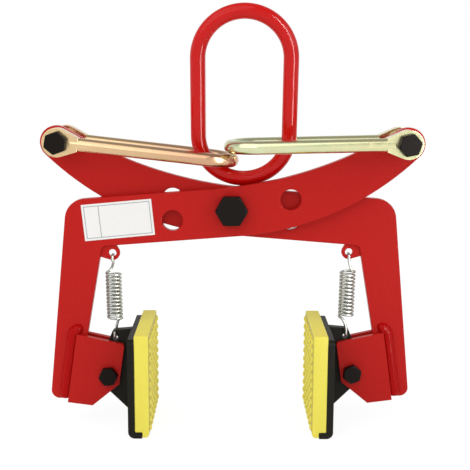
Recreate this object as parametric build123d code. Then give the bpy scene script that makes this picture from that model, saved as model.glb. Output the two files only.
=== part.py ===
from build123d import *
import math
import os

# Scissor block clamp. X to the right, Y to the back, Z up, millimetres.
# Z = 0 is the floor under the pad carriers, the main pivot lies at X = 0.

# Arms
pivot_height = 236.0
plate_thickness = 10.0
plate_gap = 0.4
beam_depth = 52.0
beam_slope = 4.5
beam_sag = 2.4
end_reach = 184.5
end_rise = 70.0
end_radius = 17.5
link_bolt_inset = 5.0
link_bolt_lift = 1.5
top_edge_radius = 440.0
bottom_edge_radius = 300.0
corner_radius = 22.0
inner_corner_radius = 6.0
leg_foot_reach = 196.3
leg_foot_drop = 208.0
leg_foot_width = 29.0
leg_outer_lean = 5.8
leg_inner_lean = 10.0
leg_foot_radius = 9.0
plate_edge_break = 0.7
light_hole_diameter = 22.0
light_hole_reach = 63.5
light_hole_slope = 10.2

# Bolts, nuts and washers
main_bolt_diameter = 20.0
main_bolt_flats = 30.0
main_head_height = 12.5
main_nut_height = 16.0
main_washer_diameter = 37.0
main_washer_thickness = 3.0
link_bolt_diameter = 14.0
link_bolt_flats = 21.0
link_head_height = 8.8
link_nut_height = 12.8
pad_bolt_diameter = 12.0
pad_bolt_flats = 18.0
pad_head_height = 7.5
pad_nut_height = 10.8
bolt_play = 0.1
thread_stub = 3.0
head_chamfer = 0.06
main_bolt_turn = 0.0
left_link_bolt_turn = 20.0
right_link_bolt_turn = 12.0
left_pad_bolt_turn = 6.0
right_pad_bolt_turn = 20.0

# Links
link_rod = 14.0
link_gap = 41.0
link_past_middle = 1.5
link_eye_diameter = 30.0
link_eye_thickness = 13.0
link_eye_taper = 22.0
link_left_drop = 19.9
link_right_drop = 4.7
spacer_diameter = 24.0
spacer_play = 0.3

# Lifting ring
ring_bar = 16.0
ring_inner_width = 79.6
ring_inner_height = 160.0
ring_shift = 12.5
ring_bottom_rise = 23.75
ring_lean = 12.0
ring_plate_play = 3.6

# Cheek plates on the legs
cheek_thickness = 6.0
pad_pivot_inset = 64.3
pad_pivot_lift = 28.0
cheek_top_out = (-33.5, 45.5)
cheek_top_in = (17.5, 34.0)
cheek_mid_in = (11.2, -10.0)
cheek_low_in = (-18.0, -34.0)
cheek_low_out = (-45.0, -30.5)
cheek_corner_radius = 3.0
weld_leg = 5.5

# Spring tab
tab_thickness = 4.0
tab_hole_diameter = 8.0
tab_reach = 11.0
tab_drop = 7.5
tab_end_radius = 7.8
tab_leg_root = 12.0
tab_beam_root = 15.0

# Pad carriers, lugs and pads
pad_side_play = 0.5
lug_boss_radius = 14.0
lug_corner_offset = (7.5, 44.5)
lug_corner_radius = 4.5
lug_hole_offset = (7.0, 40.5)
lug_hole_diameter = 6.0
lug_top = 50.5
lug_bottom = -44.0
carrier_back = 24.5
carrier_thickness = 7.0
carrier_depth = 110.0
carrier_top = 50.0
lip_length = 7.5
lip_thickness = 6.5
carrier_bend_radius = 7.0
carrier_corner_radius = 6.0
pad_thickness = 15.0
pad_over_top = 5.0
pad_clear_floor = 0.8
pad_toe_radius = 4.0
pad_corner_radius = 2.5

# Extension springs
spring_wire = 2.0
spring_diameter = 16.0
spring_pitch = 4.0
spring_turns = 13
spring_hook_bend = 3.2
spring_hook_tail = 3.0
spring_lead_turn = 60.0
spring_seat_play = 0.35

link_reach = end_reach - link_bolt_inset
link_rise = end_rise + link_bolt_lift
link_length = link_reach + link_past_middle
pad_pivot_reach = leg_foot_reach - pad_pivot_inset
pad_pivot_drop = leg_foot_drop - pad_pivot_lift
pad_floor = -(pivot_height - pad_pivot_drop)
plate_mid = plate_gap / 2 + plate_thickness / 2


def turned(shape):
    """The same piece on the other arm: half a turn about the vertical axis."""
    return Rot(0, 0, 180) * shape


def flat_plate(face, front, thickness):
    """Stands a flat outline up in the XZ plane, from Y = front backwards."""
    return Pos(0, front + thickness, 0) * extrude(Plane.XZ * face, thickness)


def bar_y(x, z, radius, front, back):
    """Round bar along Y from front to back."""
    return Pos(x, (front + back) / 2, z) * Rot(90, 0, 0) * Cylinder(radius, back - front)


def hex_y(x, z, flats, front, back, turn):
    """Hexagon along Y from front to back, its corners turned off at both ends."""
    face = Pos(x, z) * RegularPolygon(flats / 2, 6, major_radius=False, rotation=turn)
    blank = bar_y(x, z, flats / math.sqrt(3), front, back)
    blank = chamfer(blank.edges().filter_by(GeomType.CIRCLE), flats * head_chamfer, flats * head_chamfer * 1.4)
    return flat_plate(face, front, back - front) & blank


def broken_edges(plate):
    """Breaks the sharp edges of both faces of a plate that stands in the XZ plane."""
    sides = plate.faces().filter_by(Axis.Y)
    return chamfer(sides.edges(), plate_edge_break)


def unit(v):
    size = math.hypot(*v)
    return tuple(c / size for c in v)


# Arm outline, worked out about the pivot
slope = math.radians(beam_slope)
along = (math.cos(slope), math.sin(slope))
across = (-math.sin(slope), math.cos(slope))
top_off = beam_depth / 2 - beam_sag
low_off = beam_depth / 2 + beam_sag


def tangent_start(offset, radius, reach):
    """Place along the beam where an edge arc starts that meets the end round.

    offset is the edge's distance from the pivot, reach the distance of the two centres.
    """
    wx = across[0] * (offset + radius) - end_reach
    wz = across[1] * (offset + radius) - end_rise
    dot = wx * along[0] + wz * along[1]
    return -dot - math.sqrt(dot * dot - wx * wx - wz * wz + reach * reach)


def on_edge(offset, place):
    return (across[0] * offset + along[0] * place, across[1] * offset + along[1] * place)


def arc_middle(centre, radius, a, b):
    mx = (a[0] + b[0]) / 2 - centre[0]
    mz = (a[1] + b[1]) / 2 - centre[1]
    d = unit((mx, mz))
    return (centre[0] + d[0] * radius, centre[1] + d[1] * radius)


def crossing(p, d, q, e):
    """Point where the line p + t d meets the line q + s e."""
    det = d[0] * -e[1] + e[0] * d[1]
    t = ((q[0] - p[0]) * -e[1] + e[0] * (q[1] - p[1])) / det
    return (p[0] + t * d[0], p[1] + t * d[1])


top_place = tangent_start(top_off, top_edge_radius, top_edge_radius + end_radius)
top_start = on_edge(top_off, top_place)
top_centre = on_edge(top_off + top_edge_radius, top_place)
low_place = tangent_start(-low_off, bottom_edge_radius, bottom_edge_radius - end_radius)
low_start = on_edge(-low_off, low_place)
low_centre = on_edge(-low_off + bottom_edge_radius, low_place)
to_top = unit((top_centre[0] - end_reach, top_centre[1] - end_rise))
from_low = unit((end_reach - low_centre[0], end_rise - low_centre[1]))
end_top = (end_reach + to_top[0] * end_radius, end_rise + to_top[1] * end_radius)
end_low = (end_reach + from_low[0] * end_radius, end_rise + from_low[1] * end_radius)
end_tip_dir = unit((end_reach, end_rise))
end_tip = (end_reach + end_tip_dir[0] * end_radius, end_rise + end_tip_dir[1] * end_radius)

foot_out = (-leg_foot_reach, -leg_foot_drop)
foot_in = (-leg_foot_reach + leg_foot_width, -leg_foot_drop)
out_dir = (math.sin(math.radians(leg_outer_lean)), math.cos(math.radians(leg_outer_lean)))
in_dir = (math.sin(math.radians(leg_inner_lean)), math.cos(math.radians(leg_inner_lean)))
corner_out = crossing(on_edge(top_off, 0), along, foot_out, out_dir)
corner_in = crossing(on_edge(-low_off, 0), along, foot_in, in_dir)


def arm_face():
    top_mid = arc_middle(top_centre, top_edge_radius, top_start, end_top)
    low_mid = arc_middle(low_centre, bottom_edge_radius, low_start, end_low)
    edges = [
        Line(corner_out, top_start),
        ThreePointArc(top_start, top_mid, end_top),
        ThreePointArc(end_top, end_tip, end_low),
        ThreePointArc(end_low, low_mid, low_start),
        Line(low_start, corner_in),
        Line(corner_in, foot_in),
        Line(foot_in, foot_out),
        Line(foot_out, corner_out),
    ]
    face = make_face(edges)
    for point, radius in (
        (corner_out, corner_radius),
        (corner_in, inner_corner_radius),
        (foot_out, leg_foot_radius),
        (foot_in, leg_foot_radius),
    ):
        near = face.vertices().sort_by_distance((point[0], point[1], 0))[0]
        face = fillet(near, radius)
    hole_dir = (math.cos(math.radians(light_hole_slope)), math.sin(math.radians(light_hole_slope)))
    for side in (-1, 1):
        place = Pos(side * light_hole_reach * hole_dir[0], side * light_hole_reach * hole_dir[1])
        face -= place * Circle(light_hole_diameter / 2)
    face -= Circle(main_bolt_diameter / 2 + bolt_play)
    face -= Pos(link_reach, link_rise) * Circle(link_bolt_diameter / 2 + bolt_play)
    return face


front_face_y = -plate_gap / 2 - plate_thickness
front_arm = Pos(0, 0, pivot_height) * broken_edges(flat_plate(arm_face(), front_face_y, plate_thickness))
rear_arm = turned(front_arm)

# Cheek plates, one on each face of the left leg
pad_x = -pad_pivot_reach
pad_z = pivot_height - pad_pivot_drop
cheek_points = (cheek_top_out, cheek_top_in, cheek_mid_in, cheek_low_in, cheek_low_out)


def cheek_face():
    face = make_face(Polyline(*cheek_points, close=True))
    near = face.vertices().sort_by_distance((cheek_top_in[0], cheek_top_in[1], 0))[0]
    face = fillet(near, cheek_corner_radius)
    return face - Circle(pad_bolt_diameter / 2 + bolt_play)


def cheek(front):
    return Pos(pad_x, 0, pad_z) * flat_plate(cheek_face(), front, cheek_thickness)


left_front_cheek = cheek(front_face_y - cheek_thickness)
left_rear_cheek = cheek(front_face_y + plate_thickness)
right_front_cheek = turned(left_rear_cheek)
right_rear_cheek = turned(left_front_cheek)


def weld_bead(start, end, plane_y, towards):
    """Quarter round bead beside a cheek edge, on the plate face at plane_y.

    towards is -1 for a bead on the front face and +1 for one on the back face.
    """
    run = unit((end[0] - start[0], end[1] - start[1]))
    out = (-run[1], run[0])
    plane = Plane(
        origin=(pad_x + start[0], plane_y, pad_z + start[1]),
        x_dir=(out[0], 0, out[1]),
        z_dir=(run[0], 0, run[1]),
    )
    up = plane.y_dir.Y * towards
    bow = weld_leg * math.cos(math.pi / 4)
    profile = make_face([
        Line((0, 0), (weld_leg, 0)),
        ThreePointArc((weld_leg, 0), (bow, up * bow), (0, up * weld_leg)),
        Line((0, up * weld_leg), (0, 0)),
    ])
    length = math.hypot(end[0] - start[0], end[1] - start[1])
    return extrude(plane * profile, length)


left_welds = Compound(children=[
    weld_bead(cheek_low_out, cheek_top_out, front_face_y, -1),
    weld_bead(cheek_low_out, cheek_top_out, -plate_gap / 2, 1),
])

# Spring tab at the inside corner of the front arm's leg
tab_x = corner_in[0] + tab_reach
tab_z = corner_in[1] - tab_drop


def tab_face():
    root_low = (corner_in[0] - in_dir[0] * tab_leg_root, corner_in[1] - in_dir[1] * tab_leg_root)
    root_high = (corner_in[0] + along[0] * tab_beam_root, corner_in[1] + along[1] * tab_beam_root)
    end = Pos(tab_x, tab_z) * Circle(tab_end_radius)
    blank = make_hull(Line(corner_in, root_low).edges() + Line(corner_in, root_high).edges() + end.edges())
    blank -= arm_face()
    return blank - Pos(tab_x, tab_z) * Circle(tab_hole_diameter / 2)


left_tab = Pos(0, 0, pivot_height) * flat_plate(tab_face(), -plate_mid - tab_thickness / 2, tab_thickness)
right_welds = turned(left_welds)
right_tab = turned(left_tab)

# Bolts and nuts


def bolt(x, z, diameter, flats, head, seat, end, turn):
    """Hexagon bolt along Y with its head in front of Y = seat and its shank ending at Y = end."""
    return hex_y(x, z, flats, seat - head, seat, turn) + bar_y(x, z, diameter / 2, seat - head / 2, end)


def nut(x, z, diameter, flats, front, height, turn):
    """Hexagon nut behind Y = front."""
    bore = bar_y(x, z, diameter / 2 + bolt_play, front - 1.0, front + height + 1.0)
    return hex_y(x, z, flats, front, front + height, turn) - bore


def collar(x, z, outer, bore, front, back):
    """Plain ring along Y from front to back."""
    return bar_y(x, z, outer / 2, front, back) - bar_y(x, z, bore, front - 1.0, back + 1.0)


back_face_y = -front_face_y
main_nut_front = back_face_y + main_washer_thickness
main_end = main_nut_front + main_nut_height + thread_stub
main_bolt = bolt(
    0, pivot_height, main_bolt_diameter, main_bolt_flats, main_head_height,
    front_face_y, main_end, main_bolt_turn,
)
main_washer = collar(
    0, pivot_height, main_washer_diameter, main_bolt_diameter / 2 + bolt_play, back_face_y, main_nut_front
)
main_nut = nut(
    0, pivot_height, main_bolt_diameter, main_bolt_flats, main_nut_front, main_nut_height, main_bolt_turn
)

link_offset = link_gap / 2 + link_rod / 2
eye_in = link_offset - link_eye_thickness / 2
eye_out = link_offset + link_eye_thickness / 2
link_z = pivot_height + link_rise


def link_fasteners(x, middle, turn):
    """Bolt, nut and the two spacers of a link whose arm plate is centred on Y = middle."""
    seat = middle - eye_out - spacer_play
    back = middle + eye_out + spacer_play
    end = back + link_nut_height + thread_stub
    bore = link_bolt_diameter / 2 + bolt_play
    half = plate_thickness / 2
    spacers = Compound(children=[
        collar(x, link_z, spacer_diameter, bore, middle - eye_in + spacer_play, middle - half),
        collar(x, link_z, spacer_diameter, bore, middle + half, middle + eye_in - spacer_play),
    ])
    return (
        bolt(x, link_z, link_bolt_diameter, link_bolt_flats, link_head_height, seat, end, turn),
        nut(x, link_z, link_bolt_diameter, link_bolt_flats, back, link_nut_height, turn),
        spacers,
    )


left_link_bolt, left_link_nut, left_link_spacers = link_fasteners(
    -link_reach, plate_mid, left_link_bolt_turn
)
right_link_bolt, right_link_nut, right_link_spacers = link_fasteners(
    link_reach, -plate_mid, right_link_bolt_turn
)


def pad_fasteners(x, front, back, turn):
    """Bolt and nut through the two cheeks of a leg."""
    end = back + pad_nut_height + thread_stub
    return (
        bolt(x, pad_z, pad_bolt_diameter, pad_bolt_flats, pad_head_height, front, end, turn),
        nut(x, pad_z, pad_bolt_diameter, pad_bolt_flats, back, pad_nut_height, turn),
    )


cheek_out = plate_mid + plate_thickness / 2 + cheek_thickness
cheek_in = cheek_thickness - plate_gap / 2
left_pad_bolt, left_pad_nut = pad_fasteners(pad_x, -cheek_out, cheek_in, left_pad_bolt_turn)
right_pad_bolt, right_pad_nut = pad_fasteners(-pad_x, -cheek_in, cheek_out, right_pad_bolt_turn)

# Links: a rod bent to a U with two forged eyes, drawn about its bolt and pointing to -X
bend_x = -(link_length - link_offset)


def link_blank():
    rod = link_rod / 2
    eye_face = make_hull(
        Circle(link_eye_diameter / 2).edges()
        + Line((-link_eye_taper, -rod), (-link_eye_taper, rod)).edges()
    )
    eye_face -= Circle(link_bolt_diameter / 2 + bolt_play)
    pieces = []
    for side in (-1, 1):
        front = side * link_offset - link_eye_thickness / 2
        pieces.append(flat_plate(eye_face, front, link_eye_thickness))
        start = -link_eye_taper * 0.6
        leg = Pos((start + bend_x) / 2, side * link_offset, 0) * Rot(0, 90, 0) * Cylinder(rod, start - bend_x)
        pieces.append(leg)
    section = Plane.YZ * (Pos(link_offset, 0) * Circle(rod))
    bend = Pos(bend_x, 0, 0) * revolve(section, Axis.Z, 180)
    return pieces[0] + pieces[1:] + bend


link = link_blank()
right_tilt = -math.degrees(math.asin(link_right_drop / link_length))
left_tilt = math.degrees(math.asin(link_left_drop / link_length))
right_link = Pos(link_reach, -plate_mid, link_z) * Rot(0, right_tilt, 0) * link
left_link = Pos(-link_reach, plate_mid, link_z) * Rot(0, left_tilt, 0) * turned(link)

# Lifting ring, drawn about the middle of its bottom bar
ring_radius = ring_inner_width / 2 + ring_bar / 2
ring_straight = ring_inner_height - ring_inner_width


def half_hoop(height, turn):
    """Half hoop in the XZ plane about X = 0, Z = height."""
    section = Plane.XY * (Pos(ring_radius, 0) * Circle(ring_bar / 2))
    return Pos(0, 0, height) * revolve(section, Axis.Y, turn)


def ring_solid():
    low = ring_radius
    high = ring_radius + ring_straight
    bars = [
        Pos(side * ring_radius, 0, (low + high) / 2) * Cylinder(ring_bar / 2, ring_straight) for side in (-1, 1)
    ]
    return half_hoop(low, 180) + bars + [half_hoop(high, -180)]


ring_y = -plate_gap / 2 + ring_plate_play + ring_bar / 2
ring_z = pivot_height + ring_bottom_rise + ring_bar / 2
lifting_ring = Pos(ring_shift, ring_y, ring_z) * Rot(ring_lean, 0, 0) * ring_solid()

# Pad carrier, lug and pad of the left leg, drawn about the pad pivot.
# The lug lies in line with its arm plate, carrier and pad are centred on Y = 0 so that both jaws face.
lug_thickness = plate_thickness - 2 * pad_side_play
carrier_front = carrier_back + carrier_thickness
lip_end = carrier_front + lip_length
lip_top = pad_floor + lip_thickness
pad_front = carrier_front + pad_thickness
pad_top = carrier_top + pad_over_top


def at_pad(shape):
    return Pos(pad_x, 0, pad_z) * shape


def lug_face():
    corner = Pos(*lug_corner_offset) * Circle(lug_corner_radius)
    side = Line((carrier_back, lug_bottom), (carrier_back, lug_top))
    face = make_hull(corner.edges() + Circle(lug_boss_radius).edges() + side.edges())
    face -= Circle(pad_bolt_diameter / 2 + bolt_play)
    return face - Pos(*lug_hole_offset) * Circle(lug_hole_diameter / 2)


def round_top(solid, top, radius):
    """Rounds the two top corners of a plate that stands across Y."""
    edges = solid.edges().filter_by(Axis.X).filter_by(lambda e: e.center().Z > top - 0.01)
    return fillet(edges, radius)


def carrier_solid():
    face = make_face(Polyline(
        (carrier_back, carrier_top),
        (carrier_back, pad_floor),
        (lip_end, pad_floor),
        (lip_end, lip_top),
        (carrier_front, lip_top),
        (carrier_front, carrier_top),
        close=True,
    ))
    near = face.vertices().sort_by_distance((carrier_back, pad_floor, 0))[0]
    face = fillet(near, carrier_bend_radius)
    plate = flat_plate(face, -carrier_depth / 2, carrier_depth)
    return round_top(plate, carrier_top, carrier_corner_radius)


def pad_solid():
    toe = pad_floor + pad_clear_floor
    notch = lip_end + pad_side_play / 2
    face = make_face(Polyline(
        (carrier_front, lip_top),
        (carrier_front, pad_top),
        (pad_front, pad_top),
        (pad_front, toe),
        (notch, toe),
        (notch, lip_top),
        close=True,
    ))
    near = face.vertices().sort_by_distance((pad_front, toe, 0))[0]
    face = fillet(near, pad_toe_radius)
    plate = flat_plate(face, -carrier_depth / 2, carrier_depth)
    return round_top(plate, pad_top, pad_corner_radius)


left_lug = at_pad(flat_plate(lug_face(), -plate_mid - lug_thickness / 2, lug_thickness))
left_carrier = at_pad(carrier_solid())
left_pad = at_pad(pad_solid())
right_lug = turned(left_lug)
right_carrier = turned(left_carrier)
right_pad = turned(left_pad)

# Extension spring from the tab hole to the lug hole, as one wire of tangent arcs
seat_depth = tab_hole_diameter / 2 - spring_wire / 2 - spring_seat_play
lug_seat_depth = lug_hole_diameter / 2 - spring_wire / 2 - spring_seat_play
high_hole = Vector(tab_x, -plate_mid, pivot_height + tab_z)
low_hole = Vector(pad_x + lug_hole_offset[0], -plate_mid, pad_z + lug_hole_offset[1])
spring_dir = (high_hole - low_hole).normalized()
low_seat = low_hole + spring_dir * lug_seat_depth
high_seat = high_hole - spring_dir * seat_depth
spring_span = (high_seat - low_seat).length
coil_radius = (spring_diameter - spring_wire) / 2
coil_turn = 360.0 * spring_turns - 2 * spring_lead_turn
coil_rise = spring_pitch * coil_turn / 360.0
coil_start = (spring_span - coil_rise) / 2


def hook_nodes(half_width):
    """Wire places and directions of a hook, from its tail to where it heads for the coil."""
    side = half_width + spring_hook_bend
    return [
        (Vector(0, -side, spring_hook_bend + spring_hook_tail), Vector(0, 0, -1)),
        (Vector(0, -side, spring_hook_bend), Vector(0, 0, -1)),
        (Vector(0, -half_width, 0), Vector(0, 1, 0)),
        (Vector(0, half_width, 0), Vector(0, 1, 0)),
        (Vector(0, side, spring_hook_bend), Vector(0, 0, 1)),
    ]


def coil_node(turn):
    """Wire place and direction on the coil, turn counted in degrees from its low end."""
    angle = math.radians(spring_lead_turn + turn)
    place = Vector(
        coil_radius * math.sin(angle),
        coil_radius * math.cos(angle),
        coil_start + spring_pitch * turn / 360.0,
    )
    rise = spring_pitch / (2 * math.pi)
    way = Vector(coil_radius * math.cos(angle), -coil_radius * math.sin(angle), rise)
    return place, way.normalized()


def flipped(node):
    """The same hook at the high end: half a turn about the Y axis at mid span, run backwards."""
    place, way = node
    return (
        Vector(-place.X, place.Y, spring_span - place.Z),
        Vector(way.X, -way.Y, way.Z),
    )


def biarc(a, b):
    """Two tangent arcs, or one line, from node a to node b."""
    (p, t), (q, u) = a, b
    v = q - p
    if abs(t.dot(u) - 1) < 1e-9 and v.cross(t).length < 1e-7:
        return [Line(p, q)]
    s = t + u
    qa = s.dot(s) - 4
    qb = -2 * v.dot(s)
    qc = v.dot(v)
    root = math.sqrt(qb * qb - 4 * qa * qc)
    d = (-qb - root) / (2 * qa)
    h = p + t * d
    k = q - u * d
    j = (h + k) * 0.5
    return [TangentArc(p, j, tangent=t), TangentArc(j, q, tangent=k - h)]


def spring_nodes():
    lug_half = lug_thickness / 2 + 0.4
    tab_half = tab_thickness / 2 + 0.4
    steps = round(coil_turn / 120.0)
    nodes = hook_nodes(lug_half)
    nodes += [coil_node(coil_turn * k / steps) for k in range(steps + 1)]
    nodes += [flipped(n) for n in reversed(hook_nodes(tab_half))]
    return nodes


def least_self_gap(edges):
    """Least distance between turns of the wire, measured on points along it."""
    points = []
    run = 0.0
    for edge in edges:
        for k in range(4):
            points.append((run + edge.length * k / 4, edge @ (k / 4)))
        run += edge.length
    best = 1e9
    for i, (a, p) in enumerate(points):
        for b, q in points[i + 1:]:
            if b - a > 12.0:
                best = min(best, (p - q).length)
    return best - spring_wire


spring_plane = Plane(
    origin=low_seat,
    x_dir=Vector(0, 1, 0).cross(spring_dir),
    z_dir=spring_dir,
)


def spring_solid():
    nodes = spring_nodes()
    edges = []
    for a, b in zip(nodes, nodes[1:]):
        edges += biarc(a, b)
    print("least self gap", round(least_self_gap(edges), 3))
    path = Wire(edges)
    section = Plane(origin=path @ 0, z_dir=path % 0) * Circle(spring_wire / 2)
    return spring_plane * sweep(section, path=path)


left_spring = spring_solid()
right_spring = turned(left_spring)

nodes = {
    "front_arm": front_arm,
    "rear_arm": rear_arm,
    "left_front_cheek": left_front_cheek,
    "left_rear_cheek": left_rear_cheek,
    "right_front_cheek": right_front_cheek,
    "right_rear_cheek": right_rear_cheek,
    "left_welds": left_welds,
    "right_welds": right_welds,
    "left_tab": left_tab,
    "right_tab": right_tab,
    "main_bolt": main_bolt,
    "main_washer": main_washer,
    "main_nut": main_nut,
    "left_link": left_link,
    "right_link": right_link,
    "left_link_bolt": left_link_bolt,
    "right_link_bolt": right_link_bolt,
    "left_link_nut": left_link_nut,
    "right_link_nut": right_link_nut,
    "left_link_spacers": left_link_spacers,
    "right_link_spacers": right_link_spacers,
    "lifting_ring": lifting_ring,
    "left_pad_bolt": left_pad_bolt,
    "right_pad_bolt": right_pad_bolt,
    "left_pad_nut": left_pad_nut,
    "right_pad_nut": right_pad_nut,
    "left_lug": left_lug,
    "right_lug": right_lug,
    "left_carrier": left_carrier,
    "right_carrier": right_carrier,
    "left_pad": left_pad,
    "right_pad": right_pad,
    "left_spring": left_spring,
    "right_spring": right_spring,
}

os.makedirs("parts", exist_ok=True)
for name, shape in nodes.items():
    export_step(shape, f"parts/{name}.step")
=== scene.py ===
"""Scissor block clamp: finishes, pads, springs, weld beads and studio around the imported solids."""

import logging
import math
from dataclasses import dataclass, field, replace
from enum import Enum
from typing import Iterable, Sequence

import bmesh
import bpy
from mathutils import Matrix, Vector


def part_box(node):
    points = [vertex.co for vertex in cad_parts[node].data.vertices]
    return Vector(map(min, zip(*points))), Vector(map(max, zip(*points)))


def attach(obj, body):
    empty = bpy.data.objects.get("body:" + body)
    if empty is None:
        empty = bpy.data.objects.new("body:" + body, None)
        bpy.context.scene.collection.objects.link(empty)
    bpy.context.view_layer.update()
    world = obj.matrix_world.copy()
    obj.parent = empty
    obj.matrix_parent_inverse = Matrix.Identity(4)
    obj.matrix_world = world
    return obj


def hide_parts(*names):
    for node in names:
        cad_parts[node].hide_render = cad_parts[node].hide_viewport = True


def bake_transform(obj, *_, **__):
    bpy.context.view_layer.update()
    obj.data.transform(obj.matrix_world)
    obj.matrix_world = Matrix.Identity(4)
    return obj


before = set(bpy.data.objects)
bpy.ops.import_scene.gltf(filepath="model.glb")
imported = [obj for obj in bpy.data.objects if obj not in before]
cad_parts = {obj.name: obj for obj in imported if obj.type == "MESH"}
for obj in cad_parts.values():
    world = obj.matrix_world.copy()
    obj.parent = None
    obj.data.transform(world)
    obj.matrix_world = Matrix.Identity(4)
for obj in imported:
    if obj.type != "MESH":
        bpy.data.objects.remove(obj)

LOG = logging.getLogger("clamp")
MM = 0.001
WHITE = (1.0, 1.0, 1.0, 1.0)

# Copies of CAD meshes: how near corners merge, in metres, and how flat neighbouring faces join
MERGE_DISTANCE = 0.00002
FLAT_ANGLE = math.radians(0.5)

# Looks that all finishes share: fineness of clouds, specks and grain, rise and samples of the edge line, a
# lighter line that is partly thinner coat and partly painted highlight
CLOUD_LOOK = {"Detail": 2.0, "Contrast": 0.45}
SPECK_LOOK = {"Detail": 4.0, "Contrast": 0.35}
EDGE_GAIN = 5.0
EDGE_SAMPLES = 6
GRAIN_DETAIL = 2.0

# Faces of a stud, round it and from pole to pole
STUD_SEGMENTS = 12
STUD_RINGS = 8

Colour = tuple[float, float, float]
Station = tuple[Vector, Vector]


class Slot(Enum):
    """Material slots of the record."""

    RED_PAINT = "red_paint"
    YELLOW_ZINC = "yellow_zinc"
    BLACK_STEEL = "black_steel"
    YELLOW_PAD = "yellow_pad"
    SPRING_STEEL = "spring_steel"


class Side(Enum):
    """The two halves of the clamp; the right one is the left one turned half a turn about Z."""

    LEFT = "left"
    RIGHT = "right"

    @property
    def arm(self) -> str:
        """Body of the arm whose leg stands on this side."""
        return "front_arm" if self is Side.LEFT else "rear_arm"

    @property
    def jaw(self) -> str:
        """Body of the pad carrier on this side."""
        return self.of("jaw")

    @property
    def turn(self) -> Matrix:
        """Turn that takes the left half to this side."""
        return Matrix.Identity(4) if self is Side.LEFT else Matrix.Rotation(math.pi, 4, "Z")

    def of(self, part: str) -> str:
        """Name of a part on this side."""
        return f"{self.value}_{part}"


def both_sides(*parts: str) -> list[str]:
    """Names of parts on the left side, then on the right one."""
    return [side.of(part) for side in Side for part in parts]


class TreeKind(Enum):
    """Kinds of node tree."""

    SHADER = "ShaderNodeTree"
    GEOMETRY = "GeometryNodeTree"


class Socket(Enum):
    """Kinds of socket on a node group."""

    FLOAT = "NodeSocketFloat"
    INT = "NodeSocketInt"
    VECTOR = "NodeSocketVector"
    GEOMETRY = "NodeSocketGeometry"
    MATERIAL = "NodeSocketMaterial"


def linear(colour: Colour) -> tuple[float, float, float, float]:
    """Turns a screen colour into the linear colour that a shader takes.

    Args:
        colour: Red, green and blue from 0 to 255.

    Returns:
        Linear red, green and blue, and an alpha of 1.
    """
    def channel(value: float) -> float:
        """One channel of the screen curve, undone."""
        share = value / 255.0
        return share / 12.92 if share <= 0.04045 else ((share + 0.055) / 1.055) ** 2.4

    return (*(channel(value) for value in colour), 1.0)


# Node trees


@dataclass
class NodeBuilder:
    """Adds nodes to a tree and links them.

    Attributes:
        tree: The node tree that is built.
    """

    tree: bpy.types.NodeTree

    @classmethod
    def cleared(cls, owner: bpy.types.Material | bpy.types.World) -> "NodeBuilder":
        """Starts on the emptied tree of a material or world.

        Args:
            owner: The material or world.

        Returns:
            The builder of its tree.
        """
        owner.use_nodes = True
        owner.node_tree.nodes.clear()
        return cls(owner.node_tree)

    def add(self, kind: str, settings: dict[str, object] | None = None, **inputs: object) -> bpy.types.Node:
        """Adds a node with inputs given by name.

        Args:
            kind: Blender's type name of the node.
            settings: Properties of the node, set before its inputs.
            **inputs: Input values or output sockets, by socket name with _ for a space.

        Returns:
            The new node.
        """
        node = self.tree.nodes.new(kind)
        for name, value in (settings or {}).items():
            setattr(node, name, value)
        for name, value in inputs.items():
            title = name.replace("_", " ")
            self.feed(next(s for s in node.inputs if s.name == title and s.enabled), value)
        return node

    def add_ordered(self, kind: str, settings: dict[str, object], *values: object) -> bpy.types.Node:
        """Adds a node with inputs given in order.

        Args:
            kind: Blender's type name of the node.
            settings: Properties of the node.
            *values: Input values or output sockets.

        Returns:
            The new node.
        """
        node = self.add(kind, settings)
        for target, value in zip(node.inputs, values):
            self.feed(target, value)
        return node

    def feed(self, target: bpy.types.NodeSocket, value: object) -> None:
        """Links an output to an input, or sets the input's own value.

        Args:
            target: The input.
            value: Output socket or plain value.
        """
        if isinstance(value, bpy.types.NodeSocket):
            self.tree.links.new(value, target)
        else:
            target.default_value = value

    def group(self, tree: bpy.types.NodeTree, **inputs: object) -> bpy.types.Node:
        """Places a shader group in the tree, with inputs given by name."""
        return self.add("ShaderNodeGroup", {"node_tree": tree}, **inputs)

    def math(self, operation: str, *values: object) -> bpy.types.NodeSocket:
        """Output of a new Math node with its inputs in order."""
        return self.add_ordered("ShaderNodeMath", {"operation": operation}, *values).outputs[0]

    def blend(self, factor: object, low: object, high: object) -> bpy.types.NodeSocket:
        """Mixes two colours.

        Args:
            factor: Share of the second colour, a mask socket or a number.
            low: First colour.
            high: Second colour.

        Returns:
            The mixed colour.
        """
        node = self.add("ShaderNodeMix", {"data_type": "RGBA"}, Factor=factor, A=low, B=high)
        return next(s for s in node.outputs if s.enabled)


def new_group(
    name: str, kind: TreeKind, inputs: dict[str, Socket], outputs: dict[str, Socket]
) -> tuple[NodeBuilder, bpy.types.NodeOutputs, bpy.types.NodeInputs]:
    """Starts a node group.

    Args:
        name: Name of the group.
        kind: Kind of its tree.
        inputs: Kind of each input, by name.
        outputs: Kind of each output, by name.

    Returns:
        The builder, the sockets that give the group's inputs and the sockets that take its outputs.
    """
    tree = bpy.data.node_groups.new(name, kind.value)
    for way, sockets in (("INPUT", inputs), ("OUTPUT", outputs)):
        for title, socket in sockets.items():
            tree.interface.new_socket(title, in_out=way, socket_type=socket.value)
    builder = NodeBuilder(tree)
    return builder, builder.add("NodeGroupInput").outputs, builder.add("NodeGroupOutput").inputs


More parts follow.
